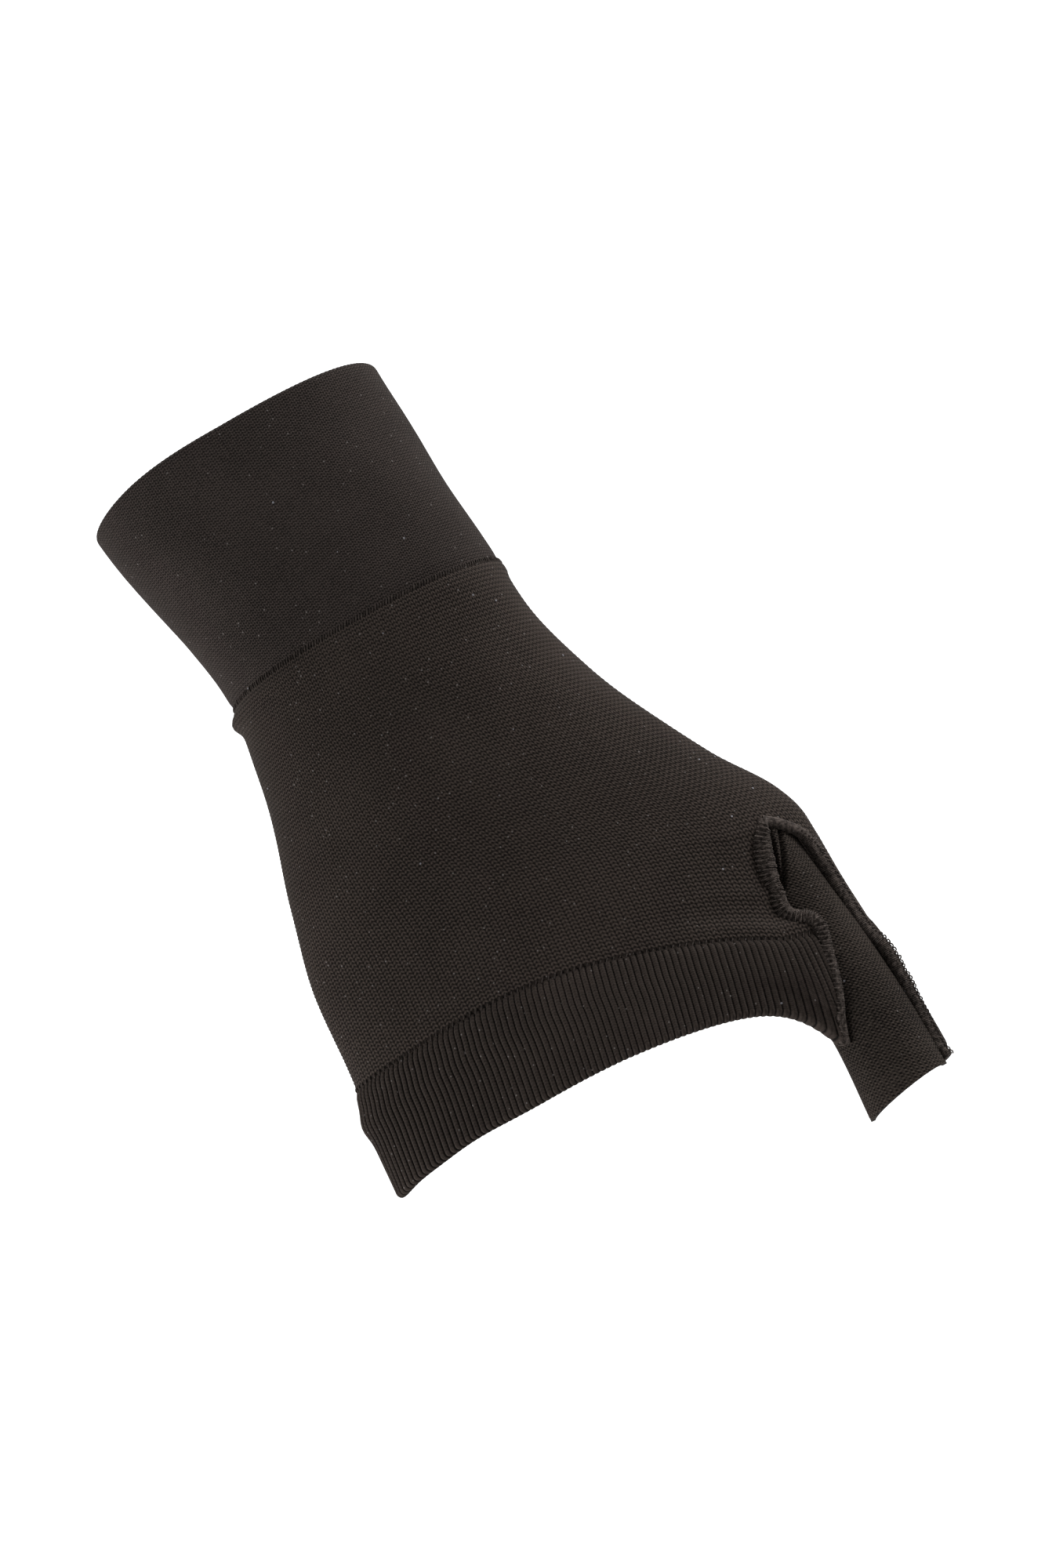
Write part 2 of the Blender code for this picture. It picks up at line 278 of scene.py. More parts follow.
def yarn_finish(name, dark, lit, depth, rough, sheen):
    """A dull warm black yarn, whose colour runs from dark, painted shade in its hollows, to lit, painted
    light on its loops. The stitch pattern that drives the tone and the bump is plugged in by dress_yarn."""
    material = bpy.data.materials.new(name)
    material.use_nodes = True
    shader = material.node_tree.nodes["Principled BSDF"]
    shader.inputs["Roughness"].default_value = rough
    shader.inputs["Sheen Weight"].default_value = sheen
    shader.inputs["Sheen Roughness"].default_value = 0.5
    shader.inputs["Sheen Tint"].default_value = (1.0, 0.90, 0.84, 1.0)
    shader.inputs["Specular IOR Level"].default_value = 0.03
    material["dark"], material["lit"], material["depth"] = dark, lit, depth
    return material


LINT_AND_GLINTS = (  # scale, size, share without any and colour, of the fine painted glints of the shiny filaments and of the coarse lint
    (900.0, 0.15, 0.84, (0.066, 0.059, 0.056, 1.0)),
    (330.0, 0.07, 0.86, (0.115, 0.112, 0.120, 1.0)),
)


def dress_yarn(material, pattern, grain):
    """Adds the yarn's fuzz, its uneven dye, the lint that clings to it and painted glints of its shiny
    filaments to a stitch pattern that runs from 0 in the hollows to 1 on the loops, painted into the colour
    as shade and light."""
    tree = material.node_tree
    shader = tree.nodes["Principled BSDF"]
    place = node(tree, "ShaderNodeTexCoord").outputs["Object"]
    fuzz = node(tree, "ShaderNodeTexNoise", Vector=place, Scale=2300.0, Detail=2.0, Roughness=0.75).outputs[0]
    dye = node(tree, "ShaderNodeTexNoise", Vector=place, Scale=45.0, Detail=4.0, Roughness=0.6).outputs[0]
    fuzz = sums(tree, "MULTIPLY", sums(tree, "SUBTRACT", fuzz, 0.5), grain)
    height = sums(tree, "ADD", pattern, fuzz)
    tone = sums(tree, "ADD", height, sums(tree, "MULTIPLY", sums(tree, "SUBTRACT", dye, 0.5), 0.5))
    dark, lit = (tuple(material[key]) + (1.0,) for key in ("dark", "lit"))
    # Painted shade and painted light: the colour runs from the dark colour in the hollows to the lit colour
    # on the loops.
    mixed = node(tree, "ShaderNodeMix", data_type="RGBA", _0=tone, _6=dark, _7=lit).outputs[2]
    # The fine specks are painted glints of shiny filaments; the coarse ones are lint.
    for scale, size, share, colour in LINT_AND_GLINTS:
        specks = node(tree, "ShaderNodeTexVoronoi", Vector=place, Scale=scale, Randomness=1.0)
        near = sums(tree, "LESS_THAN", specks.outputs["Distance"], size)
        chosen = node(tree, "ShaderNodeSeparateColor", _0=specks.outputs["Color"]).outputs[0]
        rare = sums(tree, "MULTIPLY", near, sums(tree, "GREATER_THAN", chosen, share))
        mixed = node(tree, "ShaderNodeMix", data_type="RGBA", _0=rare, _6=mixed, _7=colour).outputs[2]
    tree.links.new(mixed, shader.inputs["Base Color"])
    bump = node(tree, "ShaderNodeBump", Height=height, Strength=material["depth"], Distance=0.0002)
    tree.links.new(bump.outputs[0], shader.inputs["Normal"])
    for key in ("dark", "lit", "depth"):
        del material[key]


def plain_knit(material, grain, groove_shade_depth):
    """The face of plain knit: each wale is a column of small Vs, with a line of painted shade beside it."""
    tree = material.node_tree
    uv = node(tree, "ShaderNodeUVMap")
    uv.uv_map = "knit"
    axes = node(tree, "ShaderNodeSeparateXYZ", _0=uv.outputs[0]).outputs
    wale = sums(tree, "PINGPONG", axes[0], 0.5)
    leg = sums(tree, "SINE", sums(tree, "MULTIPLY", sums(tree, "ADD", axes[1], wale), 2 * math.pi))
    two_legs = sums(tree, "SINE", sums(tree, "MULTIPLY", wale, 2 * math.pi))
    # Painted shade: the colour darkens in the groove at the edge of each wale.
    line = mapped(tree, wale, 0.0, 0.16, -groove_shade_depth, 0.0)
    pattern = sums(tree, "ADD", sums(tree, "MULTIPLY", leg, 0.34), sums(tree, "MULTIPLY", two_legs, 0.42))
    pattern = sums(tree, "ADD", sums(tree, "ADD", pattern, 0.16), line)
    dress_yarn(material, pattern, grain)


cuff_yarn = yarn_finish(
    "cuff_yarn",
    dark=(0.0042, 0.0034, 0.0030),
    lit=(0.034, 0.0270, 0.0242),
    depth=0.55,
    rough=0.86,
    sheen=0.02,
)
plain_knit(cuff_yarn, grain=1.1, groove_shade_depth=0.15)


def rim_line(angle):
    """Reach of the rim's fold: it stands back on the ulnar side, and out a little on the other."""
    ulnar = np.maximum(0.0, -np.cos(angle)) ** 3
    radial = np.maximum(0.0, np.cos(angle))
    return RIM + RIM_SET_BACK * ulnar - RIM_OUT * radial


def welt_turn(steps_out, steps_in):
    """(share of the way to the fold, extra reach, inset) down the outer ply, round and back."""
    bend = PLY + WELT_GAP / 2
    turns = [(share, 0.0, 0.0) for share in np.linspace(0, 1, steps_out)]
    for angle in np.radians((22, 45, 68, 90, 112, 135, 158)):
        turns.append((1.0, bend * math.sin(angle), bend * (1 - math.cos(angle))))
    return turns + [(share, 0.0, 2 * bend) for share in np.linspace(1, 0, steps_in)]


def make_cuff():
    courses, stitches = [], []
    for share, ahead, inset in welt_turn(74, 20):
        def line(angle, share=share, ahead=ahead):
            return JOIN + (rim_line(angle) - JOIN) * share - ahead
        points, places = closed_course(line, CUFF_ROUND, inset)
        course = CUFF_COURSES * (share if inset < PLY else 2 - share) + ahead / CUFF_COURSE_HEIGHT
        courses.append(points)
        stitches.append([(place * CUFF_WALES, course, 1.0) for place in places])
    cuff = knit_mesh("cuff_fabric", courses, stitches, [True] * len(courses))
    cuff.data.flip_normals()
    return finish_knit(cuff, cuff_yarn, wale=0.00003)


cuff_fabric = make_cuff()
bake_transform(cuff_fabric)
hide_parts("forearm_cuff")

# ---------------------------------------------------------------------------------------------
# Hand body: one ply of coarser elastic knit. It widens from the wrist and is cut open along the
# thumb. It is made here in two lengths that meet stitch to stitch.

BODY_WALES, BODY_COURSES, BODY_ROUND = 168, 100, 336
ROWS_PER_COURSE = 2
HALF_WAY_COURSE = 39
TUCK_REACH, TUCK_INSET = 0.0011, 0.0003  # how far and how deep the last row runs in the welt
SLIT_TOP, SLIT_FOOT, RIB_START = 0.0620, 0.0692, 0.0685
SLIT_ANGLE, PALMAR_EDGE = math.radians(33), math.radians(7)
RIB_RUN_BACK, RIB_RUN_SIDE, RIB_RUN_PALM = 0.016, 0.005, 0.021
RIB_ROOT, RIB_TURN_IN = math.radians(42), 0.024  # where ribs spring from, and ease to the cut
CUT_EDGE_MARGIN, CUT_EDGE_LIFT, CUT_EDGE_PULL = 0.0009, 0.0006, 0.75
SEAM_RADIUS = 0.0011
THUMB_LINE = np.array([  # reach, x, z and radius of the stall's knit
    (0.056, 0.0450, -0.0030, 0.0048),
    (0.075, 0.0447, -0.0036, 0.0067),
    (0.090, 0.0454, -0.0038, 0.0076),
    (0.104, 0.0462, -0.0040, 0.0077),
    (0.122, 0.0456, -0.0040, 0.0084),
])
DORSAL_SEAM = np.array([  # reach and x of the overlocked edge, with its pinch and its step at the rib
    (0.0622, 0.0470), (0.0640, 0.0458), (0.0665, 0.0444), (0.0695, 0.0434), (0.0724, 0.0427),
    (0.0750, 0.0427), (0.0772, 0.0420), (0.0796, 0.0420), (0.0814, 0.0432), (0.0824, 0.0449),
    (0.0840, 0.0462), (0.0866, 0.0460), (0.0903, 0.0450), (0.0941, 0.0442), (0.0980, 0.0429),
    (0.1018, 0.0411), (0.1046, 0.0401), (0.1063, 0.0396),
])
body_yarn = yarn_finish(
    "body_yarn",
    dark=(0.0035, 0.0027, 0.0023),
    lit=(0.036, 0.0280, 0.0238),
    depth=0.6,
    rough=0.88,
    sheen=0.025,
)
plain_knit(body_yarn, grain=1.0, groove_shade_depth=0.30)


def seam_height(reach):
    """z of the dorsal seam's middle, which lies on the thumb stall."""
    middle, z, radius = along(THUMB_LINE, reach)
    x = np.interp(reach, DORSAL_SEAM[:, 0], DORSAL_SEAM[:, 1])
    return z + np.sqrt(np.maximum((radius + PLY / 2 + SEAM_RADIUS * 0.8) ** 2 - (x - middle) ** 2, 1e-9))


def turn_from_slit(angle):
    """The angle in degrees, from 6 in the slit, over the back and under the palm, to 366."""
    return np.degrees((angle - math.radians(6)) % (2 * math.pi)) + 6.0


def rib_line(angle):
    """Reach at which the ribbed welt starts, all round: it runs out along the thumb."""
    turn = turn_from_slit(angle)
    back = np.clip((124.0 - turn) / 79.0, 0.0, 1.0) ** 1.9
    side = np.clip((45.0 - turn) / 39.0, 0.0, 1.0)
    palm = np.clip((turn - 263.0) / 102.0, 0.0, 1.0) ** 2.2
    return RIB_START + RIB_RUN_BACK * back + RIB_RUN_SIDE * side + RIB_RUN_PALM * palm


def cut_angle(line, margin):
    """Angle at which a course that follows line meets the dorsal panel's cut edge."""
    angle = math.radians(45)
    for _ in range(4):
        reach = max(float(line(np.array(angle))), DORSAL_SEAM[0, 0])
        x = np.interp(reach, DORSAL_SEAM[:, 0], DORSAL_SEAM[:, 1]) - margin
        ulnar, radial = along(WORN, reach)[:2]
        share = min((x - (radial + ulnar) / 2) / ((radial - ulnar) / 2), 0.99)
        angle = math.acos(signed_power(share, 1 / 1.08))
    return angle


def sleeve_course(line, count, inset, margin=CUT_EDGE_MARGIN, slant=None):
    """One course of the hand tube: points, wale position round the whole outline, and whether it
    is closed. Past the slit's top it runs from the dorsal to the palmar cut edge. With a slant,
    its stitches lie that much further on, and come back to the dorsal edge over RIB_TURN_IN."""
    top = float(line(np.array(SLIT_ANGLE)))
    opened = float(ease(SLIT_TOP, SLIT_TOP + 0.003, top))
    start = SLIT_ANGLE + (cut_angle(line, margin) - SLIT_ANGLE) * opened
    fallen = float(np.clip((top - SLIT_TOP) / (SLIT_FOOT - SLIT_TOP), 0.0, 1.0)) ** 1.15
    end = SLIT_ANGLE + 2 * math.pi + (PALMAR_EDGE - SLIT_ANGLE) * fallen
    whole = np.linspace(SLIT_ANGLE, SLIT_ANGLE + 2 * math.pi, 721)
    x, y, z, lengths = even_course(line, whole, inset)
    if opened > 0:
        pull = np.clip(1 - (whole - start) / CUT_EDGE_PULL, 0.0, 1.0) ** 2 * opened
        reach = max(float(line(np.array(start))), DORSAL_SEAM[0, 0])
        target = float(seam_height(reach)) + CUT_EDGE_LIFT - inset
        z = z + (target - np.interp(start, whole, z)) * pull
    first, last, root = np.interp((start, end, RIB_ROOT), whole, lengths)
    if slant is None:
        places = np.linspace(first, last, count + 1)
        shares = places / lengths[-1]
    else:
        places = np.linspace(root + slant, last, count + 1)
        places = places + (first - places[0]) * np.clip(1 - (places - places[0]) / RIB_TURN_IN, 0, 1) ** 2
        shares = (places - root - slant) / (last - root - slant)
    points = np.stack([np.interp(places, lengths, a) for a in (x, y, z)], axis=1)
    return points, shares, slant is None and opened == 0


def make_body(name, first, last):
    """Courses first to last of the hand body, whose last row tucks in between the welt's plies."""
    courses, stitches, closed = [], [], []
    for step in range(first * ROWS_PER_COURSE, last * ROWS_PER_COURSE + 1):
        share = step / (BODY_COURSES * ROWS_PER_COURSE)
        tucked = 1.0 if share == 1.0 else 0.0
        def line(angle, share=share, tuck=TUCK_REACH * tucked):
            return JOIN + (rib_line(angle) - JOIN) * share + tuck
        points, places, shut = sleeve_course(line, BODY_ROUND, TUCK_INSET * tucked)
        courses.append(points)
        closed.append(shut)
        rise = min(1.0, 0.45 + share)
        stitches.append([(place * BODY_WALES, step / ROWS_PER_COURSE, rise) for place in places])
    body = knit_mesh(name, courses, stitches, closed)
    return finish_knit(body, body_yarn, wale=0.00002, course=0.00005)


def match_shading(half, whole):
    """Gives a length of the tube the shading of the whole, so that no line shows where it ends."""
    match = half.modifiers.new("match", "DATA_TRANSFER")
    match.object = whole
    match.use_loop_data = True
    match.data_types_loops = {"CUSTOM_NORMAL"}
    match.loop_mapping = "NEAREST_POLYNOR"
    return as_plain_mesh(half, sharpen=False)


whole_body = make_body("whole_body", 0, BODY_COURSES)
wrist_fabric = match_shading(make_body("wrist_fabric", 0, HALF_WAY_COURSE), whole_body)
palm_fabric = match_shading(make_body("palm_fabric", HALF_WAY_COURSE, BODY_COURSES), whole_body)
bpy.data.objects.remove(whole_body, do_unlink=True)
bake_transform(wrist_fabric)
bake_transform(palm_fabric)
for fabric, size in ((wrist_fabric, (0.175, 0.034)), (palm_fabric, (0.210, 0.046))):
    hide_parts("hand_body")

# ---------------------------------------------------------------------------------------------
# Knuckle welt: a one by one rib, two plies thick, turned at the finger edge and linked to the
# hand body. Its cut ends lie in the two overlocked seams along the thumb.

RIBS, POINTS_PER_RIB, RIB_COURSES = 176, 8, 34
RIB_SLANT, RIB_PROUD, RIB_FROM_JOIN = 0.20, 0.0006, 0.0002
FINGERS = 0.0885
rib_yarn = yarn_finish(
    "rib_yarn",
    dark=(0.0022, 0.0018, 0.0015),
    lit=(0.0311, 0.0243, 0.0208),
    depth=0.45,
    rough=0.86,
    sheen=0.015,
)


def finger_edge(angle):
    """Reach of the welt's folded edge, hollowed over the palm and drawn out along the thumb."""
    turn = turn_from_slit(angle)
    back = np.clip((112.0 - turn) / 67.0, 0.0, 1.02)
    palm = ease(178.0, 222.0, turn)
    thumb = np.clip((turn - 269.0) / 89.0, 0.0, 1.0)
    wave = 0.0008 * swell(turn, 172.0, 14.0) - 0.0006 * swell(turn, 132.0, 12.0)
    return FINGERS + 0.0076 * back**2 + 0.0100 * back**11 + wave - 0.0085 * palm + 0.034 * thumb**2


def rib_knit(material, grain):
    """The face of the rib: a raised wale of two yarn legs, with deep painted shade in the groove beside it
    and a little painted shade between the legs.
    """
    tree = material.node_tree
    uv = node(tree, "ShaderNodeUVMap")
    uv.uv_map = "knit"
    axes = node(tree, "ShaderNodeSeparateXYZ", _0=uv.outputs[0]).outputs
    wale = sums(tree, "PINGPONG", axes[0], 0.5)
    leg = sums(tree, "SINE", sums(tree, "MULTIPLY", sums(tree, "ADD", axes[1], wale), 2 * math.pi))
    # Painted shade: the colour darkens deeply in the groove beside each wale and a little between its two
    # legs.
    hollow_shade = mapped(tree, wale, 0.02, 0.17, -0.05, 0.58)
    shade_between_legs = mapped(tree, wale, 0.40, 0.50, 0.0, -0.16)
    pattern = sums(tree, "ADD", hollow_shade, shade_between_legs)
    dress_yarn(material, sums(tree, "ADD", pattern, sums(tree, "MULTIPLY", leg, 0.13)), grain)


rib_knit(rib_yarn, 0.8)


def make_rib():
    courses, stitches = [], []
    for share, ahead, inset in welt_turn(20, 8):
        def line(angle, share=share, ahead=ahead):
            low = rib_line(angle) + RIB_FROM_JOIN
            return low + (finger_edge(angle) - low) * share + ahead
        swelling = math.sin(min(share / 0.10, 1.0) * math.pi / 2)
        proud = RIB_PROUD * swelling if inset < PLY else RIB_PROUD
        slant = RIB_SLANT * (float(line(np.array(math.pi / 2))) - RIB_START)
        points, ribs, _ = sleeve_course(line, RIBS * POINTS_PER_RIB, inset - proud, slant=slant)
        course = RIB_COURSES * (share if inset < PLY else 2 - share)
        marks = [(RIBS * rib, course, 1.0 if inset < PLY else 0.6) for rib in ribs]
        courses.append(points)
        stitches.append(marks)
    welt = knit_mesh("knuckle_welt", courses, stitches, [False] * len(courses))
    return finish_knit(welt, rib_yarn, rib=0.00028)


knuckle_welt = make_rib()
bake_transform(knuckle_welt)
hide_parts("knuckle_rib")

# ---------------------------------------------------------------------------------------------
# Thumb stall: a short tube of the same knit with its purl side out. Its top is cut slanting and
# gathered into the slit, where it puckers beside the dorsal seam.

STALL_WALES, STALL_ROUND, STALL_ROWS = 52, 208, 240
STALL_COURSE_HEIGHT = 0.00072
STALL_TOP, STALL_WEB_CUT = 0.0605, 0.0265
STALL_END, STALL_END_SLANT, STALL_PALM_CUT = 0.1192, 0.0013, 0.0040
CREASES = ((74.0, 20.0), (53.0, 36.0))  # degrees round the stall, and how far each crease swings
CREASE_DEPTH, CREASE_WIDTH = 0.0014, 4.2
stall_yarn = yarn_finish(
    "stall_yarn",
    dark=(0.0020, 0.0016, 0.0014),
    lit=(0.0380, 0.0302, 0.0254),
    depth=0.8,
    rough=0.9,
    sheen=0.015,
)


def purl_knit(material, grain):
    """The reverse of plain knit: staggered round bumps, one to each half stitch, with painted light on them
    and painted shade between them.
    """
    tree = material.node_tree
    uv = node(tree, "ShaderNodeUVMap")
    uv.uv_map = "knit"
    axes = node(tree, "ShaderNodeSeparateXYZ", _0=uv.outputs[0]).outputs
    across, down = (sums(tree, "COSINE", sums(tree, "MULTIPLY", axes[k], 2 * math.pi)) for k in (0, 1))
    # Painted light and shade: the colour is lighter on each bump and darker between them.
    bumps = sums(tree, "MULTIPLY", sums(tree, "MULTIPLY", across, down), 0.42)
    pattern = sums(tree, "ADD", sums(tree, "ADD", bumps, 0.36), sums(tree, "MULTIPLY", down, 0.16))
    dress_yarn(material, pattern, grain)


purl_knit(stall_yarn, 1.5)


def make_stall():
    courses, stitches = [], []
    angles = np.linspace(0, 2 * math.pi, STALL_ROUND + 1)
    off = np.abs((angles - math.radians(42) + math.pi) % (2 * math.pi) - math.pi)
    top = STALL_TOP + STALL_WEB_CUT * ease(math.radians(64), math.radians(120), off)
    palm_side = np.maximum(0.0, -np.sin(angles)) ** 1.5
    end = STALL_END - STALL_END_SLANT * np.cos(angles) - STALL_PALM_CUT * palm_side
    beside_seam = swell(angles, math.radians(66), 0.40)
    for share in np.linspace(0, 1, STALL_ROWS + 1):
        reach = top + (end - top) * share
        x, z, radius = along(THUMB_LINE, reach)
        gathered = ease(0.0765, 0.0735, reach) * ease(0.0610, 0.0650, reach)
        down = (reach - 0.066) / 0.008
        creases = 0.0
        for first, swing in CREASES:
            creases = creases + swell(np.degrees(angles), first + swing * down, CREASE_WIDTH)
        radius = radius + PLY / 2 + (0.0004 * beside_seam - CREASE_DEPTH * creases) * gathered
        courses.append(np.stack([x + radius * np.cos(angles), -reach, z + radius * np.sin(angles)], axis=1))
        slant = -0.25 * (np.cos(angles) * radius) / STALL_COURSE_HEIGHT
        run = (reach - STALL_TOP) / STALL_COURSE_HEIGHT + slant
        rise = float(ease(0.0, 0.03, 1 - share))
        stitches.append([(STALL_WALES * j / STALL_ROUND, run[j], rise) for j in range(STALL_ROUND + 1)])
    stall = knit_mesh("stall_fabric", courses, stitches, [True] * len(courses))
    return finish_knit(stall, stall_yarn, purl=0.00009)


stall_fabric = make_stall()
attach(stall_fabric, "thumb")
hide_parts("thumb_stall")

# ---------------------------------------------------------------------------------------------
# Overlocked seams: looper threads wound close round the two cut edges, which bind the dorsal and
# the palmar panel to the stall. Each ridge is round and uneven, and swells where the cloth under
# it is gathered. The palmar one starts over the top of the slit.

seam_yarn = yarn_finish(
    "seam_yarn",
    dark=(0.0080, 0.0064, 0.0055),
    lit=(0.074, 0.0600, 0.0530),
    depth=0.4,
    rough=0.78,
    sheen=0.03,
)


def twisted_thread(material, grain):
    """Textured thread: no stitches of its own, only its plies and its fuzz."""
    tree = material.node_tree
    place = node(tree, "ShaderNodeTexCoord").outputs["Object"]
    plies = node(tree, "ShaderNodeTexNoise", Vector=place, Scale=1500.0, Detail=2.0, Roughness=0.6).outputs[0]
    dress_yarn(material, mapped(tree, plies, 0.32, 0.68, 0.0, 0.8), grain)


twisted_thread(seam_yarn, 0.9)


def overlock_tree():
    """Geometry nodes that wind a thread round a path, over a rolled edge of cloth whose girth the
    path holds, and lay a second thread in zigzags on it."""
    tree = bpy.data.node_groups.new("overlock", "GeometryNodeTree")
    face = tree.interface
    face.new_socket("Path", in_out="INPUT", socket_type="NodeSocketGeometry")
    for label in ("Turns", "Ridge radius", "Thread radius"):
        face.new_socket(label, in_out="INPUT", socket_type="NodeSocketFloat")
    face.new_socket("Seed", in_out="INPUT", socket_type="NodeSocketInt")
    face.new_socket("Yarn", in_out="INPUT", socket_type="NodeSocketMaterial")
    face.new_socket("Seam", in_out="OUTPUT", socket_type="NodeSocketGeometry")
    inputs = tree.nodes.new("NodeGroupInput").outputs
    curve = node(tree, "GeometryNodeMeshToCurve", Mesh=inputs["Path"]).outputs[0]
    steps = sums(tree, "MULTIPLY", inputs["Turns"], 10.0)
    fine = node(tree, "GeometryNodeResampleCurve", Curve=curve, Count=steps).outputs[0]
    share = tree.nodes.new("GeometryNodeSplineParameter").outputs["Factor"]
    tangent = tree.nodes.new("GeometryNodeInputTangent").outputs[0]
    out_of_cloth = carried(tree, "out")
    side = node(tree, "ShaderNodeVectorMath", operation="CROSS_PRODUCT", _0=tangent, _1=out_of_cloth)
    side = node(tree, "ShaderNodeVectorMath", operation="NORMALIZE", _0=side.outputs[0]).outputs[0]
    over = node(tree, "ShaderNodeVectorMath", operation="CROSS_PRODUCT", _0=side, _1=tangent).outputs[0]
    girth = carried(tree, "girth", "FLOAT")
    turn = sums(tree, "MULTIPLY", sums(tree, "MULTIPLY", share, inputs["Turns"]), 2 * math.pi)
    shifted = sums(tree, "MULTIPLY", sums(tree, "ADD", share, inputs["Seed"]), 40.0)
    wander = node(tree, "ShaderNodeTexNoise", Vector=shifted, Scale=1.0, Detail=3.0)
    uneven = mapped(tree, wander.outputs[0], 0.3, 0.7, 0.86, 1.12)
    radius = sums(tree, "MULTIPLY", sums(tree, "MULTIPLY", inputs["Ridge radius"], girth), uneven)

    def wound(lean, high, wide):
        across = sums(tree, "MULTIPLY", sums(tree, "COSINE", lean), sums(tree, "MULTIPLY", radius, wide))
        rise = sums(tree, "MULTIPLY", high, radius)
        one = node(tree, "ShaderNodeVectorMath", operation="SCALE", _0=side, Scale=across).outputs[0]
        two = node(tree, "ShaderNodeVectorMath", operation="SCALE", _0=over, Scale=rise).outputs[0]
        both = node(tree, "ShaderNodeVectorMath", operation="ADD", _0=one, _1=two).outputs[0]
        strand = node(tree, "GeometryNodeSetPosition", Geometry=fine, Offset=both).outputs[0]
        small = node(tree, "GeometryNodeCurvePrimitiveCircle", Resolution=5, Radius=inputs["Thread radius"])
        return node(tree, "GeometryNodeCurveToMesh", Curve=strand, Profile_Curve=small.outputs[0]).outputs[0]

    binding = wound(turn, sums(tree, "MULTIPLY", sums(tree, "SINE", turn), 0.92), 1.12)
    slow = sums(tree, "MULTIPLY", turn, 0.37)
    wave = sums(tree, "MULTIPLY", sums(tree, "SINE", slow), 0.15)
    looper = wound(slow, sums(tree, "ADD", wave, 1.02), 0.75)
    calm = node(tree, "GeometryNodeResampleCurve", Curve=curve, Count=110).outputs[0]
    calm = node(tree, "GeometryNodeSetCurveRadius", Curve=calm, Radius=girth).outputs[0]
    core_radius = sums(tree, "MULTIPLY", inputs["Ridge radius"], 0.93)
    big = node(tree, "GeometryNodeCurvePrimitiveCircle", Resolution=14, Radius=core_radius)
    core = node(tree, "GeometryNodeCurveToMesh", Curve=calm, Profile_Curve=big.outputs[0], Fill_Caps=True)
    joined = tree.nodes.new("GeometryNodeJoinGeometry")
    for strand in (binding, looper, core.outputs[0]):
        tree.links.new(strand, joined.inputs[0])
    shaded = node(tree, "GeometryNodeSetShadeSmooth", Geometry=joined.outputs[0]).outputs[0]
    whole = node(tree, "GeometryNodeRealizeInstances", Geometry=shaded).outputs[0]
    dyed = node(tree, "GeometryNodeSetMaterial", Geometry=whole, Material=inputs["Yarn"])
    out = tree.nodes.new("NodeGroupOutput")
    tree.links.new(dyed.outputs[0], out.inputs[0])
    return tree


overlock = overlock_tree()


def smooth_path(rows, count):
    """A Catmull-Rom curve through rows of numbers, at count even steps of its parameter."""
    p = np.array(rows)
    p = np.concatenate([[2 * p[0] - p[1]], p, [2 * p[-1] - p[-2]]])
    made = []
    for t in np.linspace(0, len(rows) - 1 - 1e-6, count):
        i = int(t)
        f = t - i
        a, b, c, d = p[i:i + 4]
        spot = 2 * b + (c - a) * f + (2 * a - 5 * b + 4 * c - d) * f**2
        made.append(0.5 * (spot + (3 * b - a - 3 * c + d) * f**3))
    return np.array(made)


def path_object(name, rows):
    """An open line for a tree to follow: x, y, z, the girth there and the way out of the cloth."""
    mesh = bpy.data.meshes.new(name)
    mesh.from_pydata([tuple(row[:3]) for row in rows], [(i, i + 1) for i in range(len(rows) - 1)], [])
    mesh.attributes.new("girth", "FLOAT", "POINT").data.foreach_set("value", np.ravel(rows[:, 3]))
    mesh.attributes.new("out", "FLOAT_VECTOR", "POINT").data.foreach_set("vector", np.ravel(rows[:, 4:7]))
    obj = bpy.data.objects.new(name, mesh)
    bpy.context.scene.collection.objects.link(obj)
    return obj


def make_overlock(name, rows, turns, radius, thread, seed):
    obj = path_object(name, rows)
    wound = obj.modifiers.new("overlock", "NODES")
    wound.node_group = overlock
    set_inputs(wound, turns=float(turns), ridge_radius=radius, thread_radius=thread, seed=seed)
    set_inputs(wound, yarn=seam_yarn)
    return as_plain_mesh(obj)


SEAM_THREAD, SEAM_POINTS = 0.00014, 240
DORSAL_GIRTH = (  # reach, and the ridge's girth there against the plain ridge
    (0.0622, 0.50), (0.0636, 1.05), (0.0655, 1.40), (0.0715, 1.45), (0.0742, 1.15), (0.0754, 0.85),
    (0.0770, 1.22),
    (0.0800, 1.20), (0.0830, 1.05), (0.0880, 1.02), (0.0940, 0.88), (0.1020, 0.78), (0.1078, 0.80),
)
dorsal_rows = []
for reach, x in DORSAL_SEAM:
    girth = float(np.interp(reach, *zip(*DORSAL_GIRTH)))
    middle, level, _ = along(THUMB_LINE, reach)
    rise = float(seam_height(reach))
    dorsal_rows.append((x, -reach, rise, girth, x - float(middle), 0.0, rise - float(level)))
dorsal_path = smooth_path(dorsal_rows, SEAM_POINTS)
dorsal_seam = make_overlock(
    "dorsal_seam", dorsal_path, turns=150, radius=0.00118, thread=SEAM_THREAD, seed=3,
)
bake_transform(dorsal_seam)
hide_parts("dorsal_overlock")

